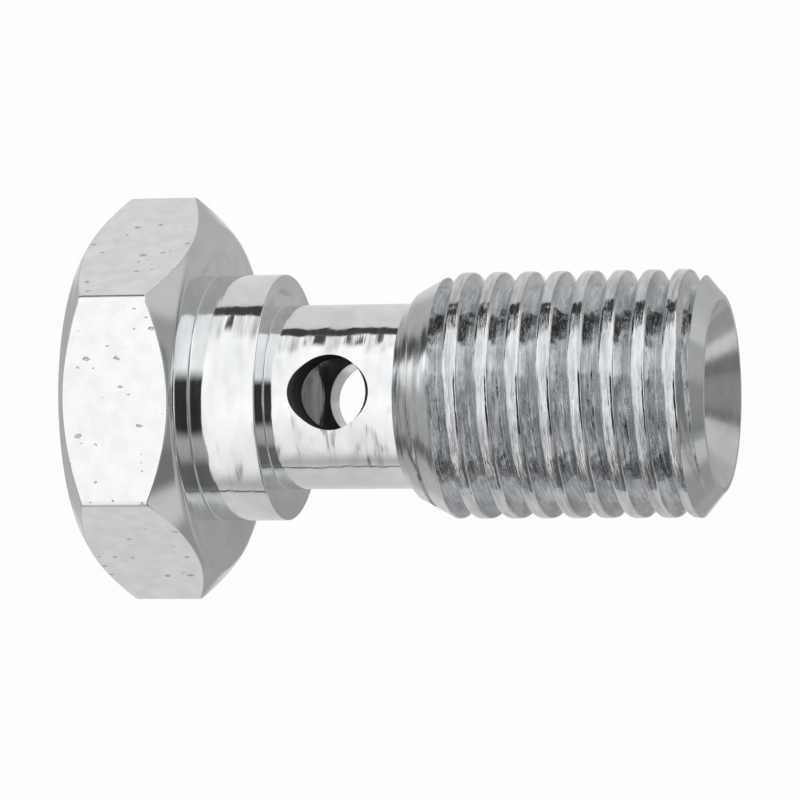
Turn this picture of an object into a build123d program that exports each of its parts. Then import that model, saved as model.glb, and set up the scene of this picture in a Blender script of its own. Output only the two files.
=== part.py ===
from build123d import *
from math import radians, tan
import os

# Banjo bolt M12 x 1.5: a hollow hexagon bolt that clamps a ring fitting and feeds it with fluid.
# It is turned in one piece from hexagon bar, threaded, drilled up from the tip and drilled across.
# It stands on its head. +Z runs from the head to the thread's tip, and the origin is the centre of
# the head's end face. Two of the hexagon's flats face -Y and +Y. Sizes are in millimetres, angles in
# degrees.

# Hexagon head
across_flats = 17.0
head_height = 5.8
end_face_diameter = across_flats - 1.0  # round face left where the corners are turned off at the end
end_chamfer_angle = 35.0  # between the chamfer and the end face
bearing_face_diameter = across_flats - 0.6  # ring that presses on the sealing washer
bearing_chamfer_angle = 40.0

# Collar, which centres the washer and the ring fitting
collar_diameter = 11.9
collar_length = 3.25
collar_edge = 0.1

# Neck, which leaves the fluid its way round inside the ring fitting
neck_diameter = 8.9
neck_length = 6.35
neck_root = 0.2  # bevel left in the corner under the collar
neck_end_bevel = 0.55  # how far the cone at the neck's end stands out from the neck
neck_end_angle = 50.0  # of that cone against the axis

# Thread: right-hand, with flat crests
thread_diameter = 11.8
thread_pitch = 1.5
thread_length = 15.0  # from the neck to the tip
thread_angle = 60.0
crest_width = 0.3
thread_phase = 57.6  # where the groove starts, counted about +Z from +X
lead_in_angle = 28.0  # against the axis, of the taper on which the first crests grow to full height
tip_chamfer_angle = 40.0  # between the chamfer and the tip face

# Fluid ways
bore_diameter = 5.2
bore_mouth_diameter = 8.9
bore_mouth_angle = 90.0
tip_rim = 0.27  # flat ring left round the bore's mouth
bore_overrun = 0.3  # full bore that is left past the cross hole
drill_point_angle = 118.0
cross_hole_diameter = 3.6
cross_hole_mouth = 4.0  # over its deburred edge
cross_hole_turn = 3.7  # the cross hole isn't lined up with the flats
deburr_angle = 90.0

# Threading tool
tool_clearance = 0.05  # how far the tool stands out past the crests
run_in_turns = 1  # over the neck, before the thread
run_out_turns = 2  # past the tip

# Heights above the end face
collar_base = head_height
neck_base = collar_base + collar_length
thread_base = neck_base + neck_length
tip = thread_base + thread_length
cross_hole_height = (neck_base + thread_base) / 2
bore_floor = cross_hole_height - cross_hole_diameter / 2 - bore_overrun

# Radii that several features share
collar_radius = collar_diameter / 2
neck_radius = neck_diameter / 2
thread_radius = thread_diameter / 2
tip_radius = bore_mouth_diameter / 2 + tip_rim
bore_radius = bore_diameter / 2
lead_in_radius = neck_radius + neck_end_bevel


def rise(run, angle):
    """How far a slope climbs over a run."""
    return run * tan(radians(angle))


def run_for(climb, angle):
    """The run over which a slope makes its climb."""
    return climb / tan(radians(angle))


def circles_at(part, height):
    """The part's round edges at one height, from the smallest to the largest."""
    near = 0.01
    found = part.edges().filter_by(GeomType.CIRCLE)
    return found.filter_by_position(Axis.Z, height - near, height + near).sort_by(SortBy.RADIUS)


# One turn of the V groove that makes the thread
with BuildPart() as thread_turn:
    groove_half = (thread_pitch - crest_width) / 2
    groove_depth = run_for(groove_half, thread_angle / 2)
    tool_half = groove_half + rise(tool_clearance, thread_angle / 2)
    with BuildLine() as turn_path:
        Helix(thread_pitch, thread_pitch, thread_radius)
    with BuildSketch(Plane(turn_path.line @ 0, x_dir=(0, 0, 1), z_dir=turn_path.line % 0)):
        with BuildLine():
            Polyline(
                (-tool_half, tool_clearance),
                (tool_half, tool_clearance),
                (0, -groove_depth),
                close=True,
            )
        make_face()
    sweep(path=turn_path.line, is_frenet=True)

with BuildPart() as banjo_bolt:
    # Head: hexagon bar with its corners turned off to a cone at both faces
    with BuildSketch():
        RegularPolygon(across_flats / 2, side_count=6, major_radius=False)
    extrude(amount=head_height)
    for face_radius, angle, face_plane in (
        (end_face_diameter / 2, end_chamfer_angle, Plane.XY),
        (bearing_face_diameter / 2, bearing_chamfer_angle, Plane((0, 0, head_height), z_dir=(0, 0, -1))),
    ):
        wide_radius = face_radius + run_for(head_height, angle)
        with Locations(face_plane):
            Cone(
                face_radius,
                wide_radius,
                head_height,
                align=(Align.CENTER, Align.CENTER, Align.MIN),
                mode=Mode.INTERSECT,
            )

    # Shank: collar, neck and thread blank, turned in one profile
    lead_in_base = thread_base + run_for(neck_end_bevel, neck_end_angle)
    lead_in_end = lead_in_base + run_for(thread_radius - lead_in_radius, lead_in_angle)
    with BuildSketch(Plane.XZ):
        with BuildLine():
            Polyline(
                (0, collar_base),
                (collar_radius, collar_base),
                (collar_radius, neck_base),
                (neck_radius, neck_base),
                (neck_radius, thread_base),
                (lead_in_radius, lead_in_base),
                (thread_radius, lead_in_end),
                (thread_radius, tip - rise(thread_radius - tip_radius, tip_chamfer_angle)),
                (tip_radius, tip),
                (0, tip),
                close=True,
            )
        make_face()
    revolve(axis=Axis.Z)
    inner_corner, *_, collar_end = circles_at(banjo_bolt, neck_base)
    chamfer(inner_corner, neck_root)
    chamfer(collar_end, collar_edge)

    # Thread: the groove runs in from the neck and out past the tip, turn by turn
    turns = run_in_turns + int(thread_length / thread_pitch) + run_out_turns
    groove_start = thread_base - run_in_turns * thread_pitch
    with Locations([(0, 0, groove_start + turn * thread_pitch) for turn in range(turns)]):
        add(thread_turn.part, rotation=(0, 0, thread_phase), mode=Mode.SUBTRACT)

    # Bore: countersunk at the tip, with the drill's point left at its floor
    with Locations((0, 0, tip)):
        CounterSinkHole(bore_radius, bore_mouth_diameter / 2, tip - bore_floor, bore_mouth_angle)
    point_height = run_for(bore_radius, drill_point_angle / 2)
    with Locations((0, 0, bore_floor - point_height / 2)):
        Cone(0, bore_radius, point_height, mode=Mode.SUBTRACT)

    # Cross hole: drilled straight through the neck into the bore, and deburred at both mouths
    outlet = Vector(0, -1, 0).rotate(Axis.Z, -cross_hole_turn)
    for way_out in (outlet, -outlet):
        mouth = Vector(0, 0, cross_hole_height) + way_out * neck_radius
        with Locations(Plane(mouth, x_dir=(0, 0, 1), z_dir=way_out)):
            CounterSinkHole(cross_hole_diameter / 2, cross_hole_mouth / 2, neck_radius, deburr_angle)

banjo_bolt.part.label = "banjo_bolt"
os.makedirs("parts", exist_ok=True)
export_step(banjo_bolt.part, "parts/banjo_bolt.step")
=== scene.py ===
from math import cos, pi, radians, sin, sqrt, tan

import bpy
from mathutils import Matrix, Vector


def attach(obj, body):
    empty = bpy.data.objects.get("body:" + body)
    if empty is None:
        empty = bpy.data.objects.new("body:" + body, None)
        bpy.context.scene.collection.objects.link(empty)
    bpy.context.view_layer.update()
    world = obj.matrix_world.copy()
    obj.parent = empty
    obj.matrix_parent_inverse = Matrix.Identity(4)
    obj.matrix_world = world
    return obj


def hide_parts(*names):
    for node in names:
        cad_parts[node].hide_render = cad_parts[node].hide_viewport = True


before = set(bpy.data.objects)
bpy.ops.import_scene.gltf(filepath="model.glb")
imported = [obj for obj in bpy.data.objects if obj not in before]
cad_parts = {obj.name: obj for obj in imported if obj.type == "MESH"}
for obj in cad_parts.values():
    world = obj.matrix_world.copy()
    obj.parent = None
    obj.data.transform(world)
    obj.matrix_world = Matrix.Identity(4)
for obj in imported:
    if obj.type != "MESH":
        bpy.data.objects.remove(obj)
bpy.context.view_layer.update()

# Banjo bolt, standing on its head with +Z towards the thread's tip and two of the hexagon's flats
# facing -Y and +Y. Sizes are in millimetres and angles in degrees. The bolt's mesh is made in
# millimetres too, and taken to metres last.

MM = 0.001

# Head: hexagon bar with its corners turned off at both faces
ACROSS_FLATS = 17.0
HEAD_HEIGHT = 5.8
END_FACE_RADIUS = 8.0
END_CHAMFER_ANGLE = 35.0
BEARING_FACE_RADIUS = 8.2
BEARING_CHAMFER_ANGLE = 40.0

# Collar, neck and the cones that lead up to the thread
COLLAR_RADIUS = 5.95
COLLAR_LENGTH = 3.25
NECK_RADIUS = 4.45
NECK_LENGTH = 6.35
NECK_END_BEVEL = 0.55  # how far the first cone stands out from the neck
NECK_END_ANGLE = 50.0
LEAD_IN_ANGLE = 28.0

# Thread, right-hand
THREAD_RADIUS = 5.9
THREAD_PITCH = 1.5
THREAD_LENGTH = 15.0
THREAD_ANGLE = 60.0
CREST_WIDTH = 0.62
CREST_HEIGHT = 17.41  # of one crest's middle, on the +X side
ROOT_WIDTH = 0.008
TIP_CHAMFER_ANGLE = 40.0
TIP_RIM = 0.27  # flat ring left round the bore's mouth

# Bore and cross hole
BORE_RADIUS = 2.6
BORE_MOUTH_RADIUS = 4.45
BORE_OVERRUN = 0.3  # full bore that is left past the cross hole
DRILL_POINT_ANGLE = 118.0
CROSS_HOLE_RADIUS = 1.8
CROSS_HOLE_MOUTH_RADIUS = 2.0
CROSS_HOLE_TURN = 3.7  # the cross hole isn't lined up with the flats

# Heights above the end face, and the tip's radius, which follow from those sizes
COLLAR_END = HEAD_HEIGHT + COLLAR_LENGTH
NECK_END = COLLAR_END + NECK_LENGTH
TIP = NECK_END + THREAD_LENGTH
CROSS_HOLE_HEIGHT = (COLLAR_END + NECK_END) / 2
BORE_FLOOR = CROSS_HOLE_HEIGHT - CROSS_HOLE_RADIUS - BORE_OVERRUN
TIP_RADIUS = BORE_MOUTH_RADIUS + TIP_RIM

# Radii of the edges that tools and plating have rounded
HEXAGON_EDGE = 0.35
FACE_EDGE = 0.09
BEARING_EDGE = 0.9
COLLAR_EDGE = 0.08
NECK_ROOT = 0.06
CREST_EDGE = 0.22
BORE_MOUTH_EDGE = 0.3
CROSS_HOLE_EDGE = 0.15

# How the meshes are made
ARC_STEPS = 4
COLUMNS = 360
SPARE_TURNS = 2  # of the thread, past each of its ends
BLANK_CLEARANCE = 0.03  # keeps the blank just clear of the crests, which the rod sets
TOOL_CLEARANCE = 1.0  # how far a drill stands out of the metal that it cuts
WELD_DISTANCE = 0.0025
SHARP_ANGLE = 26.0

# Colours of the zinc, where its noise is low and where it is high
TURNED_TONES = ((0.68, 0.695, 0.705), (0.80, 0.81, 0.815))
DRAWN_TONES = ((0.77, 0.78, 0.785), (0.87, 0.88, 0.885))
# The thread's zinc is darker than the turned zinc's, a painted shade; its tones change along its streaks
THREADED_TONES_WITH_PAINTED_SHADE = ((0.50, 0.515, 0.53), (0.79, 0.80, 0.81))
DRILLED_TONES = ((0.72, 0.73, 0.74), (0.92, 0.93, 0.93))

# Roughness of the zinc in the same places
DRAWN_ROUGHNESS = (0.17, 0.24)
THREADED_ROUGHNESS = (0.06, 0.14)
DRILLED_ROUGHNESS = (0.12, 0.2)
STREAK_ROUGHENING = 0.07  # what turned zinc gains from its low places to its high ones

NOISE_RANGE = (0.3, 0.7)  # what counts as low and as high in a noise
STREAK_SHARE = 0.06  # how deep turned zinc's streaks are, as a share of its waves

WHITE = (1, 1, 1, 1)
BACKDROP = 1.0  # what the camera sees in place of the studio: plain white

# Floor
FLOOR_SIZE = 3000.0
FLOOR_COLOUR = (0.9, 0.9, 0.9, 1)
FLOOR_GLOW = 0.97  # how much of it the camera sees as plain white, with no shadow

# The studio's panels: brightness, then azimuth from, to and softness, then elevation from, to and
# softness. Azimuth runs from -Y towards +X and elevation from the horizon up, both in degrees. Each
# panel covers what the panels before it have drawn.
STUDIO = (
    (0.50, -200, 200, 1, -100, 100, 4),  # the room
    (0.39, 150, 200, 10, 0, 32, 6),  # shade behind the bolt
    (0.42, -12, 75, 10, -66, -33, 5),  # shade low in front of it
    (0.78, -200, 200, 1, -33, -2, 5),  # the light foot of the walls, all round
    (1.25, -86, 97, 1, -25, 95, 12),  # the white front
    (1.35, -86, -18, 14, -66, -30, 4),  # which reaches further down on the -X side
    (1.00, 35, 110, 30, -20, 60, 5),  # and falls off in steps towards the +X side
    (0.45, 78, 97, 14, -33, 60, 4),
    (0.50, 22, 64, 14, -13, 60, 1),
    (0.17, 58, 98, 9, -13, 60, 1),
    (0.71, 99, 200, 1, -33, -2, 5),  # the walls' foot again, beyond the front's +X edge
    (0.13, 75, 101, 4, -70, -24, 4),  # the dark gap at that edge, wide below the horizon
    (0.12, 96, 98.5, 0.7, -33, 60, 4),
    (0.06, -95, -83, 1.0, -40, 2, 5),  # the dark gap at the front's -X edge
    (0.05, -97, -60, 7, -70, -20, 6),  # which is wider further down
    (0.08, -86, -68, 5, -14.5, 6, 0.9),  # and about the horizon
    (0.64, -130, -93, 10, 33, 66, 8),  # lighter walls on both sides
    (0.66, 93, 116, 6, 44, 66, 6),
    (0.36, 116, 150, 6, 18, 50, 6),  # shade next to the one on the +X side
    (0.42, -200, 200, 1, 64, 100, 2),  # the ceiling
    (0.29, -81, 103, 6, 60, 100, 5),  # darker over the front
    (0.20, -81, 103, 6, 61, 73, 3),
    (0.22, -200, -150, 10, 46, 100, 6),  # and over the wall behind the bolt
    (0.22, 150, 200, 10, 46, 100, 6),
    (0.04, -23, 35, 7, 2, 42, 4),  # the camera
)

# The photograph's camera, turned, pitched and rolled from looking straight at the -Y side with the
# bolt's tip on its right
CAMERA_TURN = 14.83  # towards the tip
CAMERA_PITCH = 0.565
CAMERA_ROLL = 0.722
CAMERA_DISTANCE = 240.38
BOLT_MIDDLE = 15.1  # height of the point that the distance is measured from
BOLT_OFF_CENTRE = (0.4719, 0.1832)  # how far to the right and up the camera sees that point
FOCAL_LENGTH = 225.0
SENSOR_WIDTH = 36.0
NEAR_CLIP = 10.0
FAR_CLIP = 10000.0


# ---------------------------------------------------------------- outlines

def rise(run, angle):
    """How far a slope climbs over a run."""
    return run * tan(radians(angle))


def run_for(climb, angle):
    """The run over which a slope makes its climb."""
    return climb / tan(radians(angle))


def rounded(corners):
    """The outline through (radius, height, rounding) corners, with an arc for each rounding."""
    outline = []
    for before, corner, after in zip(corners, corners[1:], corners[2:]):
        here = Vector(corner[:2])
        rounding = corner[2]
        if rounding == 0:
            outline.append(tuple(here))
            continue
        back = (Vector(before[:2]) - here).normalized()
        onward = (Vector(after[:2]) - here).normalized()
        half_angle = back.angle(onward) / 2
        centre = here + (back + onward).normalized() * rounding / sin(half_angle)
        start = here + back * rounding / tan(half_angle) - centre
        end = here + onward * rounding / tan(half_angle) - centre
        sweep = start.angle_signed(end)
        for step in range(ARC_STEPS + 1):
            turned = Matrix.Rotation(-sweep * step / ARC_STEPS, 2) @ start
            outline.append(tuple(centre + turned))
    return [corners[0][:2], *outline, corners[-1][:2]]


def column_angles():
    """Where the columns of a solid's points stand, in radians from +X: evenly, with more of them
    where the hexagon's edges are rounded."""
    even = [2 * pi * index / COLUMNS for index in range(COLUMNS)]
    spread = HEXAGON_EDGE / ACROSS_FLATS
    quarters = range(-7, 8, 2)  # of the spread, to either side of an edge
    edges = [pi / 3 * edge + spread * quarter / 4 for edge in range(6) for quarter in quarters]
    return sorted(angle % (2 * pi) for angle in even + edges)


def all_round(outline):
    """The same outline for every column."""
    return [outline] * len(column_angles())


def hexagon_radius(angle):
    """The hexagon bar's radius in a direction, in radians from +X, with its long edges rounded."""
    apothem = ACROSS_FLATS / 2
    to_edge = pi / 6  # from the middle of a flat
    off_flat = abs((angle - pi / 2 + to_edge) % (2 * to_edge) - to_edge)
    if apothem * tan(off_flat) < (apothem - HEXAGON_EDGE) * tan(to_edge):
        return apothem / cos(off_flat)
    arc_centre = (apothem - HEXAGON_EDGE) / cos(to_edge)
    off_edge = to_edge - off_flat
    return arc_centre * cos(off_edge) + sqrt(HEXAGON_EDGE**2 - (arc_centre * sin(off_edge)) ** 2)


def blank_outline(angle):
    """The bolt before threading and drilling: its outline in a direction, in radians from +X."""
    bar = hexagon_radius(angle)
    blank = THREAD_RADIUS + BLANK_CLEARANCE
    lead_in = NECK_RADIUS + NECK_END_BEVEL
    lead_in_start = NECK_END + run_for(NECK_END_BEVEL, NECK_END_ANGLE)
    return rounded([
        (0, 0, 0),
        (END_FACE_RADIUS, 0, FACE_EDGE),
        (bar, rise(bar - END_FACE_RADIUS, END_CHAMFER_ANGLE), FACE_EDGE),
        (bar, HEAD_HEIGHT - rise(bar - BEARING_FACE_RADIUS, BEARING_CHAMFER_ANGLE), FACE_EDGE),
        (BEARING_FACE_RADIUS, HEAD_HEIGHT, BEARING_EDGE),
        (COLLAR_RADIUS, HEAD_HEIGHT, FACE_EDGE),
        (COLLAR_RADIUS, COLLAR_END, COLLAR_EDGE),
        (NECK_RADIUS, COLLAR_END, NECK_ROOT),
        (NECK_RADIUS, NECK_END, FACE_EDGE),
        (lead_in, lead_in_start, FACE_EDGE),
        (blank, lead_in_start + run_for(blank - lead_in, LEAD_IN_ANGLE), 0),
        (blank, TIP - rise(blank - TIP_RADIUS, TIP_CHAMFER_ANGLE), 0),
        (TIP_RADIUS, TIP, FACE_EDGE),
        (0, TIP, 0),
    ])


def bore_outline():
    """The drill for the bore, with its point down and its countersink at the tip."""
    return rounded([
        (0, BORE_FLOOR - run_for(BORE_RADIUS, DRILL_POINT_ANGLE / 2), 0),
        (BORE_RADIUS, BORE_FLOOR, 0),
        (BORE_RADIUS, TIP - BORE_MOUTH_RADIUS + BORE_RADIUS, BORE_MOUTH_EDGE),
        (BORE_MOUTH_RADIUS, TIP, 0),
        (BORE_MOUTH_RADIUS + TOOL_CLEARANCE, TIP + TOOL_CLEARANCE, 0),
        (0, TIP + TOOL_CLEARANCE, 0),
    ])


def cross_hole_outline():
    """The drill for the cross hole, about its own middle, with a flare at both mouths."""
    mouth = NECK_RADIUS + TOOL_CLEARANCE
    mouth_radius = CROSS_HOLE_MOUTH_RADIUS + TOOL_CLEARANCE
    straight = NECK_RADIUS - (CROSS_HOLE_MOUTH_RADIUS - CROSS_HOLE_RADIUS)
    return rounded([
        (0, -mouth, 0),
        (mouth_radius, -mouth, 0),
        (CROSS_HOLE_RADIUS, -straight, CROSS_HOLE_EDGE),
        (CROSS_HOLE_RADIUS, straight, CROSS_HOLE_EDGE),
        (mouth_radius, mouth, 0),
        (0, mouth, 0),
    ])


def thread_turn_outline():
    """One pitch of the thread, from the middle of a crest to the next, as (radius, height)."""
    crest = CREST_WIDTH / 2
    root = (THREAD_PITCH - ROOT_WIDTH) / 2
    bottom = THREAD_RADIUS - run_for(root - crest, THREAD_ANGLE / 2)
    outline = rounded([
        (THREAD_RADIUS, 0, 0),
        (THREAD_RADIUS, crest, CREST_EDGE),
        (bottom, root, 0),
        (bottom, THREAD_PITCH - root, 0),
        (THREAD_RADIUS, THREAD_PITCH - crest, CREST_EDGE),
        (THREAD_RADIUS, THREAD_PITCH, 0),
    ])
    return outline[:-1]


def rod_outline():
    """The threaded rod on the +X side. Below the thread it is wide enough to leave the head alone."""
    turn = thread_turn_outline()
    steps = len(turn)
    foot = -THREAD_PITCH
    shoulder = COLLAR_END + THREAD_PITCH / 2
    outline = [(ACROSS_FLATS, foot + THREAD_PITCH * step / steps) for step in range(steps)]
    outline += [(ACROSS_FLATS, shoulder + THREAD_PITCH / 2 * step / steps) for step in range(steps)]
    first_turn = -int((CREST_HEIGHT - NECK_END) / THREAD_PITCH) - SPARE_TURNS
    last_turn = int((TIP - CREST_HEIGHT) / THREAD_PITCH) + SPARE_TURNS
    for count in range(first_turn, last_turn + 1):
        outline += [(radius, CREST_HEIGHT + THREAD_PITCH * count + height) for radius, height in turn]
    return outline


# ---------------------------------------------------------------- solids

def new_object(name, points, faces, materials, slots):
    """A mesh object. slots holds each face's place in materials."""
    mesh = bpy.data.meshes.new(name)
    mesh.from_pydata(points, [], faces)
    for material in materials:
        mesh.materials.append(material)
    mesh.polygons.foreach_set("material_index", slots)
    mesh.validate()
    made = bpy.data.objects.new(name, mesh)
    bpy.context.scene.collection.objects.link(made)
    return made


def strip(start, side, rows):
    """The faces between two columns of points, given by the numbers of their first points."""
    return [(start + row, side + row, side + row + 1, start + row + 1) for row in range(rows - 1)]


def turned_solid(name, outlines, materials, slot_of_row):
    """A solid round the Z axis, with an outline for every column. slot_of_row gives the rows of
    faces that take another material than the first."""
    angles = column_angles()
    rows = len(outlines[0]) - 2  # without the two ends, which lie on the axis
    points = [
        (radius * cos(angle), radius * sin(angle), height)
        for angle, outline in zip(angles, outlines)
        for radius, height in outline[1:-1]
    ]
    low_point = len(points)
    high_point = low_point + 1
    points += [(0, 0, outlines[0][0][1]), (0, 0, outlines[0][-1][1])]
    faces = []
    slots = []
    for column in range(len(angles)):
        start = column * rows
        side = (column + 1) % len(angles) * rows
        faces += strip(start, side, rows)
        slots += [slot_of_row.get(row, 0) for row in range(rows - 1)]
        faces += [(low_point, side, start), (high_point, start + rows - 1, side + rows - 1)]
        slots += [0, 0]
    return new_object(name, points, faces, materials, slots)


def threaded_rod(name, material):
    """A right-hand threaded rod. Its columns climb by one pitch in a turn, so that the last of them
    meets the first one a turn further up."""
    outline = rod_outline()
    rows = len(outline)
    shift = len(thread_turn_outline())  # rows that make one turn
    points = []
    for index in range(COLUMNS):
        turned = (index + 0.5) / COLUMNS  # between the blank's columns, which makes clean cuts
        angle = 2 * pi * turned
        lift = THREAD_PITCH * turned
        points += [(radius * cos(angle), radius * sin(angle), height + lift) for radius, height in outline]
    faces = []
    for index in range(COLUMNS - 1):
        faces += strip(index * rows, (index + 1) * rows, rows)
    last = (COLUMNS - 1) * rows
    faces += strip(last, shift, rows - shift)

    # A fan from the axis closes each end, with the step that one turn leaves in it
    low_edge = [index * rows for index in range(COLUMNS)] + list(range(shift, 0, -1))
    high_edge = [index * rows + rows - 1 for index in range(COLUMNS)]
    high_edge += [last + rows - 1 - step for step in range(1, shift + 1)]
    low_point = len(points)
    high_point = low_point + 1
    points += [(0, 0, outline[0][1] - THREAD_PITCH), (0, 0, outline[-1][1] + 2 * THREAD_PITCH)]
    faces += [(low_point, after, here) for here, after in zip(low_edge, low_edge[1:] + low_edge[:1])]
    faces += [(high_point, here, after) for here, after in zip(high_edge, high_edge[1:] + high_edge[:1])]
    return new_object(name, points, faces, [material], [0] * len(faces))


def apply_modifier(target, kind, **settings):
    """Gives target the mesh that a modifier makes of it."""
    modifier = target.modifiers.new(kind, kind)
    for key, value in settings.items():
        setattr(modifier, key, value)
    evaluated = target.evaluated_get(bpy.context.evaluated_depsgraph_get())
    shaped = bpy.data.meshes.new_from_object(evaluated)
    target.modifiers.clear()
    target.data = shaped


def cut(target, tool, operation):
    """Cuts target with a tool and deletes the tool. Cut faces keep the tool's material."""
    apply_modifier(
        target, "BOOLEAN", object=tool, operation=operation, solver="EXACT", material_mode="TRANSFER"
    )
    bpy.data.objects.remove(tool)


def smooth_and_scale(target):
    """Smooths the rounded edges without bending the faces' shading, then takes target to metres."""
    apply_modifier(target, "WELD", merge_threshold=WELD_DISTANCE)  # takes out the cuts' slivers
    target.data.shade_smooth()
    target.data.set_sharp_from_angle(angle=radians(SHARP_ANGLE))
    apply_modifier(target, "WEIGHTED_NORMAL", keep_sharp=True)
    target.data.transform(Matrix.Scale(MM, 4))


# ---------------------------------------------------------------- nodes

def empty_tree(owner):
    """The node tree of a material or a world, with nothing in it."""
    owner.use_nodes = True
    owner.node_tree.nodes.clear()
    return owner.node_tree


def add_node(tree, kind, settings=(), **inputs):
    """A node with its settings and its inputs, each a value or another node's output. An input goes
    by its name, with _ for a space, or by its place, as _0 or _1."""
    node = tree.nodes.new("ShaderNode" + kind)
    for key, value in dict(settings).items():
        setattr(node, key, value)
    for key, value in inputs.items():
        socket = node.inputs[int(key[1:]) if key[0] == "_" else key.replace("_", " ")]
        if isinstance(value, bpy.types.NodeSocket):
            tree.links.new(value, socket)
        else:
            socket.default_value = value
    return node


def calculate(tree, operation, *values):
    """What a math node makes of its values."""
    inputs = {f"_{place}": value for place, value in enumerate(values)}
    return add_node(tree, "Math", {"operation": operation}, **inputs).outputs[0]


def vector_calculate(tree, operation, **inputs):
    """What a vector math node makes of its inputs."""
    return add_node(tree, "VectorMath", {"operation": operation}, **inputs).outputs[0]


def smooth_step(tree, value, start, end, low=0.0, high=1.0):
    """low before start and high after end, with a smooth change between them."""
    node = add_node(
        tree, "MapRange", {"interpolation_type": "SMOOTHSTEP"}, Value=value, From_Min=start, From_Max=end,
        To_Min=low, To_Max=high,
    )
    return node.outputs["Result"]


def azimuth(tree, x, y):
    """A direction's angle about +Z, in radians, from -Y towards +X."""
    return calculate(tree, "ARCTAN2", x, calculate(tree, "MULTIPLY", y, -1.0))


def surface_point(tree):
    """The shaded point's x, y and z in millimetres, and its distance from the axis."""
    place = add_node(tree, "TexCoord").outputs["Object"]
    scaled = vector_calculate(tree, "SCALE", _0=place, Scale=1 / MM)
    x, y, z = add_node(tree, "SeparateXYZ", _0=scaled).outputs
    x_squared = calculate(tree, "MULTIPLY", x, x)
    y_squared = calculate(tree, "MULTIPLY", y, y)
    radius = calculate(tree, "SQRT", calculate(tree, "ADD", x_squared, y_squared))
    return x, y, z, radius


def turned_noise(tree, around, across, lead=0.0, detail=2.0):
    """Noise drawn out along a lathe tool's path: around sets how often it changes in a turn, and
    across how often in a millimetre. lead is the path's climb in a turn."""
    x, y, z, radius = surface_point(tree)
    climb = calculate(tree, "MULTIPLY", azimuth(tree, x, y), lead / (2 * pi))
    level = calculate(tree, "SUBTRACT", z, climb)
    step = calculate(tree, "MULTIPLY", calculate(tree, "ADD", level, radius), across)
    east = calculate(tree, "MULTIPLY", calculate(tree, "DIVIDE", x, radius), around)
    north = calculate(tree, "MULTIPLY", calculate(tree, "DIVIDE", y, radius), around)
    path = add_node(tree, "CombineXYZ", X=east, Y=north, Z=step).outputs[0]
    noise = add_node(tree, "TexNoise", Vector=path, Scale=1.0, Detail=detail, Roughness=0.6)
    return noise.outputs["Fac"]


def spot_noise(tree, per_millimetre, detail=2.0):
    """Noise that is the same in every direction."""
    place = add_node(tree, "TexCoord").outputs["Object"]
    noise = add_node(tree, "TexNoise", Vector=place, Scale=per_millimetre / MM, Detail=detail)
    return noise.outputs["Fac"]


def pits(tree, per_millimetre, largest, rarity):
    """1 in the middle of scattered small pits and 0 between them. largest is a radius in cells."""
    raggedness = 0.25 * MM
    notches_per_millimetre = 5.0
    stretch = (1, 1, 0.6)  # makes the pits longer along the bar
    edge = (0.5, 1.0)  # where a pit's wall starts and ends, in its own radii
    place = add_node(tree, "TexCoord").outputs["Object"]
    notches = add_node(tree, "TexNoise", Vector=place, Scale=notches_per_millimetre / MM).outputs["Color"]
    ragged = vector_calculate(tree, "MULTIPLY_ADD", _0=notches, _1=(raggedness,) * 3, _2=place)
    stretched = vector_calculate(tree, "MULTIPLY", _0=ragged, _1=stretch)
    cells = add_node(tree, "TexVoronoi", Vector=stretched, Scale=per_millimetre / MM)
    chance = add_node(tree, "SeparateColor", _0=cells.outputs["Color"]).outputs[0]
    size = calculate(tree, "MULTIPLY", calculate(tree, "POWER", chance, rarity), largest)
    off_middle = calculate(tree, "DIVIDE", cells.outputs["Distance"], size)
    return smooth_step(tree, off_middle, *edge, low=1.0, high=0.0)


def bump(tree, height, depth, normal=None):
    """A bump whose height of 1 is depth in millimetres, laid over another one's normal."""
    inputs = {"Height": height, "Distance": depth * MM, "Strength": 1.0}
    if normal is not None:
        inputs["Normal"] = normal
    return add_node(tree, "Bump", **inputs).outputs[0]


def between(tree, noise, ends):
    """A value that goes with a noise from the first of two ends to the second."""
    return smooth_step(tree, noise, *NOISE_RANGE, *ends)


def tones(tree, noise, ends):
    """A colour that goes with a noise from the first of two ends to the second."""
    mix = add_node(tree, "Mix", {"data_type": "RGBA"}, Factor=smooth_step(tree, noise, *NOISE_RANGE))
    sockets = [socket for socket in mix.inputs if socket.type == "RGBA"]
    for socket, colour in zip(sockets, ends):
        socket.default_value = (*colour, 1)
    return next(socket for socket in mix.outputs if socket.type == "RGBA")


def darkened(tree, colour, amount, to):
    """colour, times to where amount is 1."""
    factor = calculate(tree, "SUBTRACT", 1.0, calculate(tree, "MULTIPLY", amount, 1 - to))
    return vector_calculate(tree, "SCALE", _0=colour, Scale=factor)


def new_metal(name):
    """A metallic material, with its node tree and its shader."""
    material = bpy.data.materials.new(name)
    tree = empty_tree(material)
    shader = add_node(tree, "BsdfPrincipled", Metallic=1.0)
    add_node(tree, "OutputMaterial", Surface=shader.outputs[0])
    return material, tree, shader


def connect(tree, shader, colour, roughness, normal):
    """Links the three outputs that make up a metal's look to its shader."""
    for name, value in (("Base Color", colour), ("Roughness", roughness), ("Normal", normal)):
        tree.links.new(value, shader.inputs[name])


# ---------------------------------------------------------------- materials

def turned_zinc(name, waviness, roughness):
    """Turned and plated: bright, with soft streaks and a slight waviness round the axis. waviness
    is in millimetres."""
    material, tree, shader = new_metal(name)
    streaks = turned_noise(tree, around=2.5, across=4.0)
    waves = turned_noise(tree, around=2.0, across=0.9, detail=1.0)
    clouds = turned_noise(tree, around=2.0, across=0.5, detail=3.0)
    wavy = bump(tree, waves, depth=waviness)
    normal = bump(tree, streaks, depth=waviness * STREAK_SHARE, normal=wavy)
    streaked = between(tree, streaks, (roughness, roughness + STREAK_ROUGHENING))
    connect(tree, shader, tones(tree, clouds, TURNED_TONES), streaked, normal)
    return material


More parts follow.
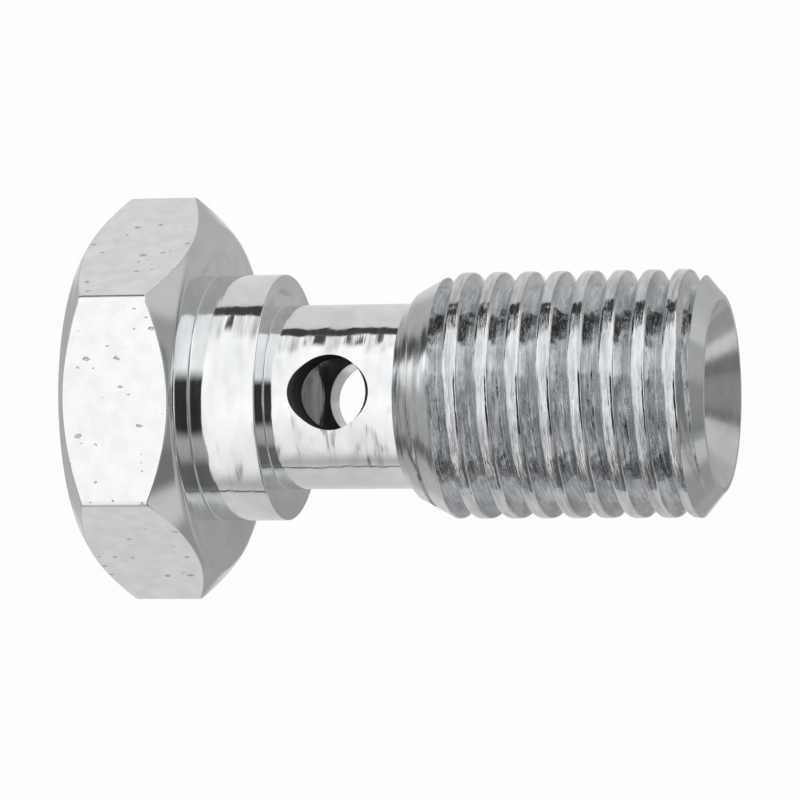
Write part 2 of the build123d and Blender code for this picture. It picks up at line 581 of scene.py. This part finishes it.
def drawn_zinc():
    """The hexagon's flats: the bar's drawn skin under the plating, pitted."""
    material, tree, shader = new_metal("zinc_drawn")
    mottle = spot_noise(tree, per_millimetre=1.2, detail=4.0)
    grain = spot_noise(tree, per_millimetre=6.0)
    holes = pits(tree, per_millimetre=2.2, largest=0.3, rarity=2.2)
    colour = darkened(tree, tones(tree, mottle, DRAWN_TONES), holes, to=0.6)
    pitted = bump(tree, holes, depth=-0.02)
    normal = bump(tree, grain, depth=0.004, normal=pitted)
    connect(tree, shader, colour, between(tree, mottle, DRAWN_ROUGHNESS), normal)
    return material


def threaded_zinc():
    """The thread: streaks run along the helix that the die cut; painted shade darkens the crests a little.
    """
    material, tree, shader = new_metal("zinc_threaded")
    streaks = turned_noise(tree, around=3.0, across=5.0, lead=THREAD_PITCH, detail=3.0)
    waves = turned_noise(tree, around=6.0, across=1.5, lead=THREAD_PITCH, detail=1.0)
    wavy = bump(tree, waves, depth=0.05)
    normal = bump(tree, streaks, depth=0.035, normal=wavy)
    # Painted shade: out to the crest's top the colour falls to 0.9 of the thread's
    flank_end = THREAD_RADIUS - 0.12
    crest_top = THREAD_RADIUS - 0.02
    crest = smooth_step(tree, surface_point(tree)[3], flank_end, crest_top)
    colour = darkened(tree, tones(tree, streaks, THREADED_TONES_WITH_PAINTED_SHADE), crest, to=0.9)
    connect(tree, shader, colour, between(tree, streaks, THREADED_ROUGHNESS), normal)
    return material


def drilled_zinc():
    """The bore and the cross hole, plated thinly, with a painted shade on their -Y side, which faces the
    camera."""
    # Painted shade: below the first y, in millimetres, the holes are nearly black and not metallic, and
    # past the second they are plain zinc
    painted_shade_until = -2.0
    painted_shade_ends = 3.6
    material, tree, shader = new_metal("zinc_drilled")
    streaks = turned_noise(tree, around=2.0, across=3.0)
    outside_painted_shade = smooth_step(tree, surface_point(tree)[1], painted_shade_until, painted_shade_ends)
    painted_shade = calculate(tree, "SUBTRACT", 1.0, outside_painted_shade)
    colour = darkened(tree, tones(tree, streaks, DRILLED_TONES), painted_shade, to=0.08)
    normal = bump(tree, streaks, depth=0.008)
    connect(tree, shader, colour, between(tree, streaks, DRILLED_ROUGHNESS), normal)
    # The painted shade takes the metal away as well
    tree.links.new(outside_painted_shade, shader.inputs["Metallic"])
    shader.inputs["Specular IOR Level"].default_value = 0.0
    return material


def floor_white():
    """Pale to the bolt, and nearly plain white to the camera."""
    material = bpy.data.materials.new("floor")
    tree = empty_tree(material)
    pale = add_node(tree, "BsdfDiffuse", Color=FLOOR_COLOUR)
    white = add_node(tree, "Emission", Color=WHITE, Strength=1.0)
    seen = add_node(tree, "LightPath").outputs["Is Camera Ray"]
    share = calculate(tree, "MULTIPLY", seen, FLOOR_GLOW)
    mixed = add_node(tree, "MixShader", _0=share, _1=pale.outputs[0], _2=white.outputs[0])
    add_node(tree, "OutputMaterial", Surface=mixed.outputs[0])
    return material


# ---------------------------------------------------------------- the bolt

def make_blank():
    """The blank, with its flats and its lead-in cones in a zinc of their own."""
    turned = turned_zinc("zinc_turned", waviness=0.055, roughness=0.05)
    lead_in = turned_zinc("zinc_lead_in", waviness=0.08, roughness=0.16)
    arc_points = ARC_STEPS + 1
    flat_row = 2 * arc_points - 1  # it follows the outline's second arc
    cone_row = 8 * arc_points - 1  # it follows the eighth arc
    cone_rows = range(cone_row, cone_row + arc_points + 1)  # two cones and the ninth arc between
    slot_of_row = {flat_row: 1, **dict.fromkeys(cone_rows, 2)}
    outlines = [blank_outline(angle) for angle in column_angles()]
    return turned_solid("bolt", outlines, [turned, drawn_zinc(), lead_in], slot_of_row)


def drill_bore(bolt, drilled):
    """Drills the bore, with its countersunk mouth in a smoother zinc."""
    mouth = turned_zinc("zinc_mouth", waviness=0.008, roughness=0.1)
    countersink_row = ARC_STEPS + 1  # it follows the outline's one arc
    drill = turned_solid("drill", all_round(bore_outline()), [drilled, mouth], {countersink_row: 1})
    cut(bolt, drill, "DIFFERENCE")


def drill_across(bolt, drilled):
    """Drills the cross hole through the neck."""
    drill = turned_solid("cross_drill", all_round(cross_hole_outline()), [drilled], {})
    across = Matrix.Rotation(radians(-CROSS_HOLE_TURN), 4, "Z") @ Matrix.Rotation(radians(90), 4, "X")
    drill.matrix_world = Matrix.Translation((0, 0, CROSS_HOLE_HEIGHT)) @ across
    cut(bolt, drill, "DIFFERENCE")


def make_bolt():
    """The bolt: the drilled blank, cut to what lies inside a threaded rod."""
    bolt = make_blank()
    drilled = drilled_zinc()
    drill_bore(bolt, drilled)
    drill_across(bolt, drilled)
    cut(bolt, threaded_rod("rod", threaded_zinc()), "INTERSECT")
    smooth_and_scale(bolt)
    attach(bolt, "root")
    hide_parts("banjo_bolt")


# ---------------------------------------------------------------- floor, light and camera

def make_floor():
    """A pale floor. The camera sees it white, with the bolt's shadow on it."""
    half = FLOOR_SIZE / 2 * MM
    corners = [(-half, -half, 0), (half, -half, 0), (half, half, 0), (-half, half, 0)]
    floor = new_object("floor", corners, [(0, 1, 2, 3)], [floor_white()], [0])
    floor.visible_glossy = False


def band(tree, value, start, end, soft):
    """1 between start and end and 0 outside them, with soft edges."""
    rising = smooth_step(tree, value, start - soft, start + soft)
    falling = smooth_step(tree, value, end - soft, end + soft, low=1.0, high=0.0)
    return calculate(tree, "MULTIPLY", rising, falling)


def make_studio():
    """Lights the bolt from a world that is drawn as brightness by direction."""
    world = bpy.data.worlds.new("studio")
    bpy.context.scene.world = world
    tree = empty_tree(world)
    direction = add_node(tree, "TexCoord").outputs["Generated"]
    x, y, z = add_node(tree, "SeparateXYZ", _0=direction).outputs
    bearing = calculate(tree, "DEGREES", azimuth(tree, x, y))
    elevation = calculate(tree, "DEGREES", calculate(tree, "ARCSINE", z))
    light = 0.0
    for level, left, right, side_soft, low, high, soft in STUDIO:
        across = band(tree, bearing, left, right, side_soft)
        cover = calculate(tree, "MULTIPLY", across, band(tree, elevation, low, high, soft))
        change = calculate(tree, "MULTIPLY", cover, calculate(tree, "SUBTRACT", level, light))
        light = calculate(tree, "ADD", light, change)
    seen = add_node(tree, "LightPath").outputs["Is Camera Ray"]
    shown = calculate(tree, "MULTIPLY", seen, calculate(tree, "SUBTRACT", BACKDROP, light))
    strength = calculate(tree, "ADD", light, shown)
    background = add_node(tree, "Background", Color=WHITE, Strength=strength)
    add_node(tree, "OutputWorld", Surface=background.outputs[0])


def make_camera():
    """The photograph's camera. It is placed in a frame whose X runs along the bolt to its tip and
    whose Z points at the viewer."""
    turned = Matrix.Rotation(radians(-CAMERA_TURN), 3, "Y")
    pitched = Matrix.Rotation(radians(CAMERA_PITCH), 3, "X")
    rolled = Matrix.Rotation(radians(CAMERA_ROLL), 3, "Z")
    view = rolled @ pitched @ turned
    to_bolt = Matrix(((0, -1, 0), (0, 0, -1), (1, 0, 0)))
    aim = to_bolt @ view.transposed()
    right, up = BOLT_OFF_CENTRE
    place = aim @ Vector((-right, -up, CAMERA_DISTANCE))
    place.z += BOLT_MIDDLE
    camera_data = bpy.data.cameras.new("camera")
    camera_data.sensor_width = SENSOR_WIDTH
    camera_data.lens = FOCAL_LENGTH
    camera_data.clip_start = NEAR_CLIP * MM
    camera_data.clip_end = FAR_CLIP * MM
    camera = bpy.data.objects.new("camera", camera_data)
    bpy.context.scene.collection.objects.link(camera)
    camera.matrix_world = Matrix.Translation(place * MM) @ aim.to_4x4()
    bpy.context.scene.camera = camera


make_bolt()
make_floor()
make_studio()
make_camera()
bpy.context.scene.view_settings.view_transform = "Standard"
